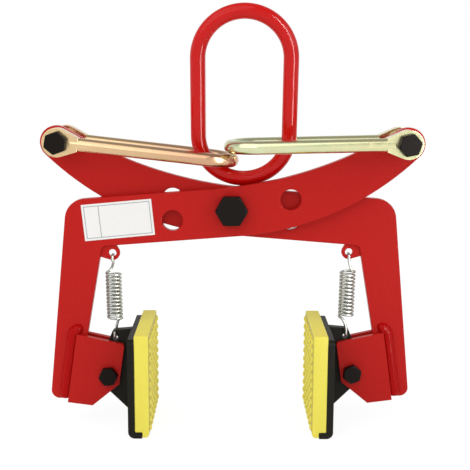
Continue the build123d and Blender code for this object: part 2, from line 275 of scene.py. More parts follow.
class Effects:
    """Shader groups that several finishes use."""

    def __init__(self) -> None:
        """Builds each group once."""
        self.mottle = self._mottle()
        self.edge = self._edge()
        self.skin = self._skin()

    @staticmethod
    def _mottle() -> bpy.types.NodeTree:
        """Soft cloudy mask that follows the piece.

        Returns:
            The group, with a Mask output from 0 to 1.
        """
        builder, given, out = new_group(
            "cloudy_mottle",
            TreeKind.SHADER,
            dict.fromkeys(("Scale", "Detail", "Contrast"), Socket.FLOAT),
            {"Mask": Socket.FLOAT},
        )
        place = builder.add("ShaderNodeTexCoord").outputs["Object"]
        noise = builder.add(
            "ShaderNodeTexNoise", Vector=place, Scale=given["Scale"], Detail=given["Detail"]
        )
        half = builder.math("MULTIPLY", given["Contrast"], 0.5)
        span = builder.add(
            "ShaderNodeMapRange",
            Value=noise.outputs[0],
            From_Min=builder.math("SUBTRACT", 0.5, half),
            From_Max=builder.math("ADD", 0.5, half),
        )
        builder.feed(out["Mask"], span.outputs[0])
        return builder.tree

    @staticmethod
    def _edge() -> bpy.types.NodeTree:
        """Mask that rises along the outer edges of a piece, where the edge colour lays a thinner coat and a
        painted highlight.

        Returns:
            The group, with a Mask output from 0 to 1.
        """
        builder, given, out = new_group(
            "edge_coat_and_painted_highlight",
            TreeKind.SHADER,
            dict.fromkeys(("Radius", "Gain"), Socket.FLOAT),
            {"Mask": Socket.FLOAT},
        )
        rounded = builder.add("ShaderNodeBevel", {"samples": EDGE_SAMPLES}, Radius=given["Radius"])
        flat = builder.add("ShaderNodeNewGeometry").outputs["Normal"]
        dot = builder.add_ordered(
            "ShaderNodeVectorMath", {"operation": "DOT_PRODUCT"}, rounded.outputs[0], flat
        )
        turned = builder.math("SUBTRACT", 1.0, dot.outputs["Value"])
        gained = builder.add("ShaderNodeClamp", Value=builder.math("MULTIPLY", turned, given["Gain"]))
        builder.feed(out["Mask"], gained.outputs[0])
        return builder.tree

    @staticmethod
    def _skin() -> bpy.types.NodeTree:
        """Normal of a coated or moulded skin: broken edges and a fine grain.

        Returns:
            The group, with a Normal output.
        """
        names = ("Edge Radius", "Grain Scale", "Grain Depth", "Grain Strength")
        builder, given, out = new_group(
            "skin_normal", TreeKind.SHADER, dict.fromkeys(names, Socket.FLOAT), {"Normal": Socket.VECTOR}
        )
        place = builder.add("ShaderNodeTexCoord").outputs["Object"]
        grain = builder.add(
            "ShaderNodeTexNoise", Vector=place, Scale=given["Grain Scale"], Detail=GRAIN_DETAIL
        )
        rounded = builder.add("ShaderNodeBevel", {"samples": EDGE_SAMPLES}, Radius=given["Edge Radius"])
        bump = builder.add(
            "ShaderNodeBump",
            Strength=given["Grain Strength"],
            Distance=given["Grain Depth"],
            Height=grain.outputs[0],
            Normal=rounded.outputs[0],
        )
        builder.feed(out["Normal"], bump.outputs[0])
        return builder.tree


# Finishes


@dataclass(frozen=True)
class Layer:
    """Colour that lies over a finish in places.

    Attributes:
        colour: Its screen colour.
        size: Clouds or specks across a metre, or width of an edge line in metres.
        share: How far it covers what lies under it.
    """

    colour: Colour
    size: float
    share: float


@dataclass(frozen=True)
class Band:
    """Colour that depends on the distance from the clamp's middle plane, in metres.

    Attributes:
        colour: Its screen colour.
        full: Distance at which it covers all.
        gone: Distance at which it has faded out.
        cut: Distance past which it doesn't show at all, or none.
    """

    colour: Colour
    full: float
    gone: float
    cut: float | None = None

    def mask(self, builder: NodeBuilder) -> bpy.types.NodeSocket:
        """Mask of the band.

        Args:
            builder: Builder of the material's tree.

        Returns:
            1 where the colour covers all, 0 where it doesn't show.
        """
        place = builder.add("ShaderNodeTexCoord").outputs["Object"]
        far = builder.math("ABSOLUTE", builder.add("ShaderNodeSeparateXYZ", Vector=place).outputs["X"])
        shade = builder.add("ShaderNodeMapRange", Value=far, From_Min=self.gone, From_Max=self.full)
        if self.cut is None:
            return shade.outputs[0]
        return builder.math("MULTIPLY", shade.outputs[0], builder.math("LESS_THAN", far, self.cut))


@dataclass(frozen=True)
class Grain:
    """Fine relief of a finish.

    Attributes:
        edge_radius: Radius in metres at which sharp edges are seen.
        scale: Grains across a metre.
        depth: Height of the grain in metres.
        strength: Share of the relief that shows.
    """

    edge_radius: float
    scale: float
    depth: float
    strength: float


@dataclass(frozen=True)
class Finish:
    """A coated, moulded or metal surface.

    Attributes:
        name: Name of the material.
        base: Main screen colour.
        clouds: Wide clouds over the main colour.
        specks: Small specks over the clouds.
        edges: Lighter line along the edges, partly thinner coat and partly painted highlight.
        roughness: Lowest and highest roughness.
        grain: Fine relief.
        metallic: 1 for bare metal.
        specular: Specular level of the shader.
        drift: Colour that the main one drifts to along the piece, or none.
        root: Painted shade on the pad face between moulded studs and at their feet, or none.
    """

    name: str
    base: Colour
    clouds: Layer
    specks: Layer
    edges: Layer
    roughness: tuple[float, float]
    grain: Grain
    metallic: float = 0.0
    specular: float = 0.5
    drift: Band | None = None
    root: Band | None = None

    def material(self, effects: Effects) -> bpy.types.Material:
        """Builds the material.

        Args:
            effects: The shared shader groups.

        Returns:
            A node material on Object coordinates.
        """
        made = bpy.data.materials.new(self.name)
        made.diffuse_color = linear(self.base)
        builder = NodeBuilder.cleared(made)
        clouds = builder.group(effects.mottle, Scale=self.clouds.size, **CLOUD_LOOK)
        specks = builder.group(effects.mottle, Scale=self.specks.size, **SPECK_LOOK)
        # Edge line: lighter colour along the edges, partly thinner coat and partly painted highlight.
        edges = builder.group(effects.edge, Radius=self.edges.size, Gain=EDGE_GAIN)
        skin = builder.group(
            effects.skin,
            Edge_Radius=self.grain.edge_radius,
            Grain_Scale=self.grain.scale,
            Grain_Depth=self.grain.depth,
            Grain_Strength=self.grain.strength,
        )
        colour = linear(self.base)
        if self.drift:
            colour = builder.blend(self.drift.mask(builder), colour, linear(self.drift.colour))
        for node, layer in ((clouds, self.clouds), (specks, self.specks), (edges, self.edges)):
            mask = builder.math("MULTIPLY", node.outputs[0], layer.share)
            colour = builder.blend(mask, colour, linear(layer.colour))
        # Painted shade: the root band darkens the pad face between the studs and at their feet.
        if self.root:
            colour = builder.blend(self.root.mask(builder), colour, linear(self.root.colour))
        low, high = self.roughness
        rough = builder.add("ShaderNodeMapRange", Value=specks.outputs[0], To_Min=low, To_Max=high)
        shader = builder.add(
            "ShaderNodeBsdfPrincipled",
            Base_Color=colour,
            Metallic=self.metallic,
            Roughness=rough.outputs[0],
            Normal=skin.outputs[0],
            Specular_IOR_Level=self.specular,
        )
        builder.add("ShaderNodeOutputMaterial", Surface=shader.outputs[0])
        return made


# In every finish the edges layer is a lighter line: partly thinner coat at the edges, partly painted
# highlight.
RED_PAINT = Finish(
    name="red_powder_coat",
    base=(186, 31, 27),
    clouds=Layer((179, 29, 25), 9.0, 0.7),
    specks=Layer((191, 33, 28), 420.0, 0.35),
    edges=Layer((206, 52, 46), 0.0009, 0.35),
    roughness=(0.2, 0.28),
    grain=Grain(0.0009, 520.0, 0.00012, 0.35),
    specular=0.08,
)
# Weld beads get a darker copy of the red paint: partly paint pooled thicker on the beads, partly painted
# shade.
SHADED_WELD_PAINT = replace(
    RED_PAINT,
    name="red_coat_on_welds_with_painted_shade",
    base=(171, 7, 6),
    clouds=replace(RED_PAINT.clouds, colour=(163, 6, 5)),
    specks=replace(RED_PAINT.specks, colour=(178, 9, 8)),
    edges=replace(RED_PAINT.edges, colour=(188, 24, 20)),
)
RING_PAINT = Finish(
    name="red_gloss_ring",
    base=(198, 13, 9),
    clouds=Layer((190, 12, 9), 12.0, 0.7),
    specks=Layer((203, 16, 11), 320.0, 0.3),
    edges=Layer((206, 22, 18), 0.0005, 0.1),
    roughness=(0.1, 0.14),
    grain=Grain(0.0, 260.0, 0.00002, 0.06),
    specular=0.22,
)
BLACK_PAINT = Finish(
    name="black_satin_paint",
    base=(29, 26, 18),
    clouds=Layer((35, 32, 24), 14.0, 0.6),
    specks=Layer((22, 20, 15), 500.0, 0.5),
    edges=Layer((58, 54, 50), 0.0009, 0.4),
    roughness=(0.36, 0.5),
    grain=Grain(0.0012, 600.0, 0.0001, 0.4),
    specular=0.11,
)
BLACK_BOLT = Finish(
    name="black_oxide_bolts",
    base=(23, 17, 14),
    clouds=Layer((28, 22, 18), 40.0, 0.6),
    specks=Layer((18, 14, 12), 800.0, 0.5),
    edges=Layer((54, 48, 44), 0.0006, 0.4),
    roughness=(0.38, 0.55),
    grain=Grain(0.0007, 900.0, 0.00006, 0.35),
    specular=0.08,
)
GOLD_ZINC = Finish(
    name="gold_passivated_zinc",
    base=(228, 200, 154),
    clouds=Layer((212, 168, 138), 16.0, 0.45),
    specks=Layer((206, 176, 124), 160.0, 0.3),
    edges=Layer((238, 218, 178), 0.0008, 0.3),
    roughness=(0.16, 0.26),
    grain=Grain(0.0008, 700.0, 0.00006, 0.25),
    metallic=1.0,
    drift=Band((204, 158, 128), full=0.03, gone=0.15),
)
PALE_ZINC = Finish(
    name="pale_passivated_zinc",
    base=(222, 218, 168),
    clouds=Layer((208, 214, 172), 18.0, 0.45),
    specks=Layer((212, 200, 152), 140.0, 0.35),
    edges=Layer((236, 232, 204), 0.0008, 0.3),
    roughness=(0.15, 0.25),
    grain=Grain(0.0008, 700.0, 0.00006, 0.25),
    metallic=1.0,
    drift=Band((214, 224, 184), full=0.03, gone=0.15),
)
PAD_RUBBER = Finish(
    name="yellow_pad_rubber",
    base=(234, 222, 82),
    clouds=Layer((228, 214, 78), 22.0, 0.6),
    specks=Layer((238, 229, 104), 380.0, 0.3),
    edges=Layer((242, 233, 114), 0.001, 0.25),
    roughness=(0.42, 0.58),
    grain=Grain(0.0008, 420.0, 0.00012, 0.35),
    specular=0.3,
    # root: painted shade on the pad face between the studs and at their feet, fading over the body's edge.
    root=Band((200, 187, 84), full=0.0855, gone=0.0839, cut=0.0856),
)
SPRING_WIRE = Finish(
    name="bright_spring_wire",
    base=(182, 184, 177),
    clouds=Layer((172, 174, 167), 60.0, 0.6),
    specks=Layer((194, 194, 189), 700.0, 0.4),
    edges=Layer((204, 204, 200), 0.0003, 0.2),
    roughness=(0.34, 0.46),
    grain=Grain(0.0002, 1500.0, 0.00002, 0.2),
    metallic=1.0,
)
PLATE_WHITE = Finish(
    name="white_label_plate",
    base=(236, 235, 233),
    clouds=Layer((232, 231, 229), 30.0, 0.6),
    specks=Layer((239, 238, 237), 500.0, 0.4),
    edges=Layer((241, 240, 239), 0.0003, 0.3),
    roughness=(0.34, 0.44),
    grain=Grain(0.0002, 900.0, 0.00002, 0.2),
    specular=0.2,
)
PLATE_LINE = Finish(
    name="grey_plate_line",
    base=(150, 162, 158),
    clouds=Layer((142, 152, 150), 60.0, 0.6),
    specks=Layer((158, 168, 165), 600.0, 0.4),
    edges=Layer((160, 170, 166), 0.0001, 0.1),
    roughness=(0.4, 0.5),
    grain=Grain(0.0001, 900.0, 0.00001, 0.2),
)


# Meshes


def new_piece(name: str, mesh: bpy.types.Mesh) -> bpy.types.Object:
    """Puts a mesh into the scene.

    Args:
        name: Name of the object.
        mesh: Its mesh, with its place in it.

    Returns:
        The object, at the origin.
    """
    piece = bpy.data.objects.new(name, mesh)
    bpy.context.scene.collection.objects.link(piece)
    return piece


def side_piece(side: Side, part: str, mesh: bpy.types.Mesh, cad_part: str) -> bpy.types.Object:
    """Puts a mesh made for the left half on one side, in place of a CAD node.

    Args:
        side: Half of the clamp.
        part: Name of the piece, without its side.
        mesh: The mesh, as it lies in the left half.
        cad_part: Name of the CAD node, without its side.

    Returns:
        The piece, which doesn't ride on a body yet.
    """
    mesh.name = side.of(part)
    mesh.transform(side.turn)
    piece = new_piece(side.of(part), mesh)
    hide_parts(side.of(cad_part))
    return piece


def plain_mesh(name: str, work: bmesh.types.BMesh) -> bpy.types.Mesh:
    """Turns a working mesh into a plain one.

    Args:
        name: Name of the plain mesh.
        work: The working mesh, freed afterwards.

    Returns:
        The plain mesh.
    """
    mesh = bpy.data.meshes.new(name)
    work.to_mesh(mesh)
    work.free()
    return mesh


def merged_copy(node: str) -> bpy.types.Mesh:
    """Copies a CAD node's loose triangles into one joined mesh with flat faces.

    Args:
        node: Name of the CAD node.

    Returns:
        The joined mesh.
    """
    work = bmesh.new()
    work.from_mesh(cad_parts[node].data)
    bmesh.ops.remove_doubles(work, verts=work.verts, dist=MERGE_DISTANCE)
    bmesh.ops.dissolve_limit(
        work, angle_limit=FLAT_ANGLE, verts=work.verts, edges=work.edges, delimit={"NORMAL"}
    )
    bmesh.ops.recalc_face_normals(work, faces=work.faces)
    return plain_mesh(f"{node}_copy", work)


def joined(name: str, meshes: Sequence[bpy.types.Mesh]) -> bpy.types.Mesh:
    """Joins meshes that share their material slots.

    Args:
        name: Name of the joined mesh.
        meshes: The meshes, removed afterwards.

    Returns:
        One mesh with the first one's materials.
    """
    work = bmesh.new()
    for mesh in meshes:
        work.from_mesh(mesh)
    result = plain_mesh(name, work)
    for material in meshes[0].materials:
        result.materials.append(material)
    for mesh in meshes:
        bpy.data.meshes.remove(mesh)
    return result


def applied(piece: bpy.types.Object) -> bpy.types.Mesh:
    """Applies the modifiers of an object.

    Args:
        piece: The object, removed afterwards with its mesh.

    Returns:
        The plain result.
    """
    base = piece.data
    piece.update_tag()
    graph = bpy.context.evaluated_depsgraph_get()
    graph.update()
    result = bpy.data.meshes.new_from_object(piece.evaluated_get(graph), depsgraph=graph)
    bpy.data.objects.remove(piece)
    bpy.data.meshes.remove(base)
    return result


def grown(mesh: bpy.types.Mesh, tree: bpy.types.NodeTree, values: dict[str, object]) -> bpy.types.Mesh:
    """Runs a geometry tree on a mesh and keeps the result as a plain mesh.

    Args:
        mesh: The mesh that the tree starts from, removed afterwards.
        tree: The geometry tree.
        values: Input values by socket name.

    Returns:
        The plain result.
    """
    carrier = new_piece("growing", mesh)
    modifier = carrier.modifiers.new("grow", "NODES")
    modifier.node_group = tree
    for item in tree.interface.items_tree:
        if item.in_out == "INPUT" and item.name in values:
            modifier[item.identifier] = values[item.name]
    return applied(carrier)


class Trees:
    """Geometry trees that make what repeats or follows a route."""

    def __init__(self) -> None:
        """Builds each tree once."""
        self.tube = self._tube()
        self.studs = self._studs()

    @staticmethod
    def _end(
        builder: NodeBuilder,
        made: bpy.types.NodeSocket,
        material: bpy.types.NodeSocket,
        out: bpy.types.NodeInputs,
    ) -> bpy.types.NodeTree:
        """Ends a tree: real instances, smooth faces, one material.

        Args:
            builder: Builder of the tree.
            made: The geometry so far.
            material: The material input.
            out: Sockets that take the tree's outputs.

        Returns:
            The finished tree.
        """
        real = builder.add("GeometryNodeRealizeInstances", Geometry=made)
        smooth = builder.add("GeometryNodeSetShadeSmooth", Geometry=real.outputs[0])
        coated = builder.add("GeometryNodeSetMaterial", Geometry=smooth.outputs[0], Material=material)
        builder.feed(out["Geometry"], coated.outputs[0])
        return builder.tree

    def _tube(self) -> bpy.types.NodeTree:
        """Round bar along a route, with ripples along its length.

        Returns:
            The tree; the route's swell attribute scales the bar.
        """
        builder, given, out = new_group(
            "round_bar_on_route",
            TreeKind.GEOMETRY,
            {
                "Geometry": Socket.GEOMETRY,
                "Radius": Socket.FLOAT,
                "Corners": Socket.INT,
                "Ripple Pitch": Socket.FLOAT,
                "Ripple Depth": Socket.FLOAT,
                "Material": Socket.MATERIAL,
            },
            {"Geometry": Socket.GEOMETRY},
        )
        route = builder.add("GeometryNodeMeshToCurve", Mesh=given["Geometry"])
        section = builder.add(
            "GeometryNodeCurvePrimitiveCircle", Resolution=given["Corners"], Radius=given["Radius"]
        )
        run = builder.add("GeometryNodeSplineParameter").outputs["Length"]
        phase = builder.math("DIVIDE", builder.math("MULTIPLY", run, 2 * math.pi), given["Ripple Pitch"])
        ripple = builder.math("MULTIPLY", builder.math("SINE", phase), given["Ripple Depth"])
        swell = builder.add("GeometryNodeInputNamedAttribute", {"data_type": "FLOAT"}, Name="swell")
        bar = builder.add(
            "GeometryNodeCurveToMesh",
            Curve=route.outputs[0],
            Profile_Curve=section.outputs[0],
            Scale=builder.math("MULTIPLY", builder.math("ADD", 1.0, ripple), swell.outputs[0]),
            Fill_Caps=True,
        )
        return self._end(builder, bar.outputs[0], given["Material"], out)

    def _studs(self) -> bpy.types.NodeTree:
        """Moulded body with rows of round studs on the face towards +X.

        Returns:
            The tree; its geometry input is the body without studs.
        """
        sizes = ("Face X", "Middle Y", "Middle Z", "Pitch Y", "Pitch Z", "Stud Radius", "Stud Height")
        builder, given, out = new_group(
            "studded_pad_face",
            TreeKind.GEOMETRY,
            {
                "Geometry": Socket.GEOMETRY,
                **dict.fromkeys(sizes, Socket.FLOAT),
                "Columns": Socket.INT,
                "Rows": Socket.INT,
                "Material": Socket.MATERIAL,
            },
            {"Geometry": Socket.GEOMETRY},
        )
        columns = builder.math("SUBTRACT", given["Columns"], 1.0)
        rows = builder.math("SUBTRACT", given["Rows"], 1.0)
        grid = builder.add(
            "GeometryNodeMeshGrid",
            Size_X=builder.math("MULTIPLY", columns, given["Pitch Y"]),
            Size_Y=builder.math("MULTIPLY", rows, given["Pitch Z"]),
            Vertices_X=given["Columns"],
            Vertices_Y=given["Rows"],
        )
        position = builder.add("GeometryNodeInputPosition").outputs[0]
        place = builder.add("ShaderNodeSeparateXYZ", Vector=position)
        upright = builder.add(
            "ShaderNodeCombineXYZ",
            X=given["Face X"],
            Y=builder.math("ADD", place.outputs["X"], given["Middle Y"]),
            Z=builder.math("ADD", place.outputs["Y"], given["Middle Z"]),
        )
        stood = builder.add(
            "GeometryNodeSetPosition", Geometry=grid.outputs[0], Position=upright.outputs[0]
        )
        ball = builder.add(
            "GeometryNodeMeshUVSphere", Segments=STUD_SEGMENTS, Rings=STUD_RINGS, Radius=1.0
        )
        size = builder.add(
            "ShaderNodeCombineXYZ", X=given["Stud Height"], Y=given["Stud Radius"], Z=given["Stud Radius"]
        )
        studs = builder.add(
            "GeometryNodeInstanceOnPoints",
            Points=stood.outputs[0],
            Instance=ball.outputs[0],
            Scale=size.outputs[0],
        )
        both = builder.add("GeometryNodeJoinGeometry")
        for geometry in (studs.outputs[0], given["Geometry"]):
            builder.feed(both.inputs[0], geometry)
        return self._end(builder, both.outputs[0], given["Material"], out)


@dataclass
class Workshop:
    """What the sub-assemblies are built and dressed with.

    Attributes:
        effects: The shared shader groups.
        trees: The geometry trees.
        paints: Materials by finish name, each built once.
    """

    effects: Effects = field(default_factory=Effects)
    trees: Trees = field(default_factory=Trees)
    paints: dict[str, bpy.types.Material] = field(default_factory=dict)

    def paint(self, finish: Finish) -> bpy.types.Material:
        """Gives the material of a finish, built at its first use.

        Args:
            finish: The finish.

        Returns:
            Its material.
        """
        if finish.name not in self.paints:
            self.paints[finish.name] = finish.material(self.effects)
        return self.paints[finish.name]

    def dress(self, finish: Finish, slot: Slot, nodes: Iterable[str]) -> None:
        """Gives CAD nodes a finish.

        Args:
            finish: The finish that the nodes get.
            slot: The record's slot that it stands for; not used.
            nodes: Names of the nodes.
        """
        for name in nodes:
            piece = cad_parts[name]
            piece.data.materials.clear()
            piece.data.materials.append(self.paint(finish))
            LOG.info("dressed %s with %s", name, finish.name)

    def bar(
        self,
        finish: Finish,
        route: Sequence[Vector],
        radius: float,
        corners: int,
        swell: Sequence[float] | None = None,
        ripple: tuple[float, float] = (0.0, 0.0),
    ) -> bpy.types.Mesh:
        """Makes a round bar along a route.

        Args:
            finish: Finish of the bar.
            route: Places in metres.
            radius: Radius in millimetres.
            corners: Corners of the section.
            swell: Thickness share at each place, or none for an even bar.
            ripple: Length of a ripple in millimetres, and its height as a share of the radius.

        Returns:
            The plain mesh.
        """
        line = bpy.data.meshes.new("route")
        line.from_pydata([tuple(p) for p in route], [(k, k + 1) for k in range(len(route) - 1)], [])
        shares = line.attributes.new("swell", "FLOAT", "POINT")
        shares.data.foreach_set("value", swell or [1.0] * len(route))
        return grown(line, self.trees.tube, {
            "Radius": radius * MM,
            "Corners": corners,
            "Ripple Pitch": ripple[0] * MM,
            "Ripple Depth": ripple[1],
            "Material": self.paint(finish),
        })


# Sub-assemblies, with their sizes in millimetres


@dataclass
class Assembly:
    """A sub-assembly of the clamp.

    Attributes:
        shop: What it is built and dressed with.
    """

    shop: Workshop


@dataclass
class Arms(Assembly):
    """Crossed arm plates with their cheeks, tabs, weld beads and bare label plate.

    Attributes:
        pad_pivot: Place of the left pad bolt, X and Z.
        bead_low: Lower outer corner of a cheek, from the pad bolt.
        bead_high: Upper outer corner of a cheek, from the pad bolt.
        bead_radius: Radius of a weld bead.
        bead_corners: Corners of its section.
        bead_out: Distance of the bead's middle from the cheek edge.
        bead_short: Distance of the bead's foot from the cheek's lower corner.
        bead_steps: Places on the bead's route, less one.
        bead_ripple: Length of a weld ripple, and its height as a share of the radius.
        bead_tip: Square of the least thickness share, at the bead's ends.
        foot_round: Length over which the bead's foot is rounded.
        wrap_start: Distance below the upper corner where the bead starts to turn.
        wrap_radius: Radius of that turn.
        wrap_angle: Angle of that turn, in degrees.
        wrap_swell: Growth of the bead's thickness along the turn, for each radian.
        plate_faces: Front and back face of the front arm, in Y.
        pivot_height: Height of the main pivot.
        label_corners: Corners of the label plate, X and Z from the main pivot.
        label_size: Width and height by which its lines are scaled.
        label_lift: Thickness of the label plate.
        line_width: Width of the lines on it.
        line_inset: Distance of the border line from top and bottom, as a share of the height.
        line_aside: Distance of the border line from the left and right, as a share of the width.
        line_relief: How far the lines reach into the plate and stand above it.
        divider: Place of the upright line, as a share of the width.
    """

    pad_pivot: tuple[float, float] = (-132.0, 56.0)
    bead_low: tuple[float, float] = (-45.0, -30.5)
    bead_high: tuple[float, float] = (-33.5, 45.5)
    bead_radius: float = 6.0
    bead_corners: int = 20
    bead_out: float = 4.6
    bead_short: float = 2.5
    bead_steps: int = 120
    bead_ripple: tuple[float, float] = (3.4, 0.012)
    bead_tip: float = 0.02
    foot_round: float = 3.0
    wrap_start: float = 3.5
    wrap_radius: float = 8.0
    wrap_angle: float = 103.0
    wrap_swell: float = 0.06
    plate_faces: tuple[float, float] = (-10.2, -0.2)
    pivot_height: float = 236.0
    label_corners: tuple[tuple[float, float], ...] = (
        (-158.8, 4.9), (-84.8, 11.9), (-80.9, -26.4), (-154.9, -33.7),
    )
    label_size: tuple[float, float] = (74.0, 40.0)
    label_lift: float = 0.35
    line_width: float = 0.8
    line_inset: float = 0.055
    line_aside: float = 0.03025
    line_relief: tuple[float, float] = (0.05, 0.03)
    divider: float = 0.235

    def dress(self) -> None:
        """Paints the plates red."""
        names = [side.arm for side in Side] + both_sides("front_cheek", "rear_cheek", "tab")
        self.shop.dress(RED_PAINT, Slot.RED_PAINT, names)

    def bead_route(self, plane_y: float) -> tuple[list[Vector], list[float]]:
        """Route of a weld bead up the outer edge of a left cheek and round its top corner.

        Args:
            plane_y: Plate face that the bead lies on.

        Returns:
            Places in metres, and the bead's thickness share at each.
        """
        start = Vector((self.bead_low[0], 0.0, self.bead_low[1]))
        end = Vector((self.bead_high[0], 0.0, self.bead_high[1]))
        run = (end - start).normalized()
        out = Vector((-run.z, 0.0, run.x))
        straight = (end - start).length - self.wrap_start
        whole = straight + self.wrap_radius * math.radians(self.wrap_angle)
        middle = Vector((self.pad_pivot[0], plane_y, self.pad_pivot[1])) + start
        middle += run * straight + out * (self.bead_out - self.wrap_radius)
        places = []
        shares = []
        for k in range(self.bead_steps + 1):
            s = self.bead_short + (whole - self.bead_short) * k / self.bead_steps
            turn = max(0.0, s - straight) / self.wrap_radius
            rise = min(0.0, s - straight) + self.wrap_radius * math.sin(turn)
            places.append((middle + run * rise + out * (self.wrap_radius * math.cos(turn))) * MM)
            shut = min(1.0, (s - self.bead_short) / self.foot_round, (whole - s) / self.bead_radius)
            shares.append((1.0 + self.wrap_swell * turn) * math.sqrt(max(self.bead_tip, shut * (2 - shut))))
        return places, shares

    def build_beads(self, side: Side) -> bpy.types.Object:
        """Weld beads on both faces of one leg, in place of the plain CAD beads.

        Args:
            side: Half of the clamp.

        Returns:
            The piece.
        """
        meshes = []
        for plane_y in self.plate_faces:
            places, shares = self.bead_route(plane_y)
            bead = self.shop.bar(
                SHADED_WELD_PAINT, places, self.bead_radius, self.bead_corners, shares, self.bead_ripple
            )
            meshes.append(bead)
        mesh = joined("weld_beads", meshes)
        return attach(side_piece(side, "weld_beads", mesh, "welds"), side.arm)

    def on_label(self, u: float, v: float, lift: float) -> Vector:
        """Place on the label plate.

        Args:
            u: Share of the width, from the left.
            v: Share of the height, from the bottom.
            lift: Distance in front of the arm's face.

        Returns:
            The place in metres.
        """
        high_left, high_right, low_right, low_left = (Vector(c) for c in self.label_corners)
        flat = low_left.lerp(low_right, u).lerp(high_left.lerp(high_right, u), v)
        return Vector((flat.x, self.plate_faces[0] - lift, self.pivot_height + flat.y)) * MM

    def label_block(
        self,
        work: bmesh.types.BMesh,
        spans: tuple[float, float, float, float],
        lifts: tuple[float, float],
        index: int,
    ) -> None:
        """Adds a flat block to the label plate.

        Args:
            work: The mesh that is built.
            spans: Low and high u, low and high v.
            lifts: Low and high distance in front of the arm.
            index: Material index.
        """
        u0, u1, v0, v1 = spans
        ring = ((u0, v0), (u1, v0), (u1, v1), (u0, v1))
        low, high = ([work.verts.new(self.on_label(u, v, lift)) for u, v in ring] for lift in lifts)
        faces = [work.faces.new(low), work.faces.new(high)]
        for k in range(4):
            faces.append(work.faces.new((low[k], low[(k + 1) % 4], high[(k + 1) % 4], high[k])))
        for face in faces:
            face.material_index = index

    def build_label(self) -> bpy.types.Object:
        """Bare white plate with a thin border and one divider line.

        Returns:
            The piece.
        """
        wide, tall = (self.line_width / size for size in self.label_size)
        left, right = self.line_aside, 1 - self.line_aside
        low, high = self.line_inset, 1 - self.line_inset
        lines = [(left, right, low, low + tall), (left, right, high - tall, high)]
        for u in (left, right - wide, self.divider):
            lines.append((u, u + wide, low + tall, high - tall))
        sunk, raised = self.line_relief
        work = bmesh.new()
        self.label_block(work, (0.0, 1.0, 0.0, 1.0), (0.0, self.label_lift), 0)
        for spans in lines:
            self.label_block(work, spans, (self.label_lift - sunk, self.label_lift + raised), 1)
        bmesh.ops.recalc_face_normals(work, faces=work.faces)
        mesh = plain_mesh("label_plate", work)
        for finish in (PLATE_WHITE, PLATE_LINE):
            mesh.materials.append(self.shop.paint(finish))
        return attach(new_piece("label_plate", mesh), "front_arm")


@dataclass
class Linkage(Assembly):
    """Lifting ring and two bent rod links with their spacers."""

    def dress(self) -> None:
        """Gives the ring a glossier red, and each link its own tone of passivated zinc."""
        self.shop.dress(RING_PAINT, Slot.RED_PAINT, ["lifting_ring"])
        for side, finish in zip(Side, (GOLD_ZINC, PALE_ZINC)):
            self.shop.dress(finish, Slot.YELLOW_ZINC, [side.of("link"), side.of("link_spacers")])


@dataclass(frozen=True)
class Stub:
    """Threaded end of a bolt behind its nut.

    Attributes:
        node: CAD node of the bolt.
        body: CAD body that it rides on.
        diameter: Outer diameter of the thread.
        pitch: Pitch of the thread.
    """

    node: str
    body: str
    diameter: float
    pitch: float


@dataclass
class Fasteners(Assembly):
    """Black bolts, nuts and the washer, with threads on the free ends.

    Attributes:
        stubs: The threaded ends.
        stub_length: Length of a threaded end.
        nut_gap: Distance of the thread from the nut.
        lead_in: Distance of the first crest from there, in pitches.
        run_out: Length that the thread leaves free, in pitches.
        crest_sink: Depth of a crest's middle under the outer diameter, in pitches.
        crest_radius: Radius of a crest, in pitches.
        crest_corners: Corners of its section.
        turn_steps: Places on one turn.
    """

    stubs: tuple[Stub, ...] = (
        Stub("main_bolt", "pivot", 20.0, 2.5),
        Stub("right_link_bolt", "front_arm", 14.0, 2.0),
        Stub("left_pad_bolt", "front_arm", 12.0, 1.75),
        Stub("left_link_bolt", "rear_arm", 14.0, 2.0),
        Stub("right_pad_bolt", "rear_arm", 12.0, 1.75),
    )
    stub_length: float = 3.0
    nut_gap: float = 0.1
    lead_in: float = 0.3
    run_out: float = 0.5
    crest_sink: float = 0.05
    crest_radius: float = 0.28
    crest_corners: int = 6
    turn_steps: int = 40

    def dress(self) -> None:
        """Blackens all bolts, nuts and the washer."""
        names = ["main_bolt", "main_washer", "main_nut"]
        names += both_sides("link_bolt", "link_nut", "pad_bolt", "pad_nut")
        self.shop.dress(BLACK_BOLT, Slot.BLACK_STEEL, names)

    def thread_route(self, stub: Stub) -> list[Vector]:
        """Screw line round the free end of a bolt.

        Args:
            stub: The threaded end.

        Returns:
            Places in metres.
        """
        low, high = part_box(stub.node)
        middle = (low + high) / 2
        start = high.y - (self.stub_length - self.nut_gap) * MM
        turns = (self.stub_length - stub.pitch * self.run_out) / stub.pitch
        steps = int(turns * self.turn_steps)
        radius = (stub.diameter / 2 - stub.pitch * self.crest_sink) * MM
        places = []
        for k in range(steps + 1):
            angle = 2 * math.pi * turns * k / steps
            x = middle.x + radius * math.cos(angle)
            y = start + (k / steps * turns + self.lead_in) * stub.pitch * MM
            z = middle.z + radius * math.sin(angle)
            places.append(Vector((x, y, z)))
        return places

    def build_threads(self) -> list[bpy.types.Object]:
        """Thread crests, one piece for each body.

        Returns:
            The pieces.
        """
        pieces = []
        for body in dict.fromkeys(stub.body for stub in self.stubs):
            meshes = []
            for stub in (s for s in self.stubs if s.body == body):
                route = self.thread_route(stub)
                radius = stub.pitch * self.crest_radius
                meshes.append(self.shop.bar(BLACK_BOLT, route, radius, self.crest_corners))
            name = f"{body}_threads"
            piece = new_piece(name, joined(name, meshes))
            pieces.append(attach(piece, body))
        return pieces


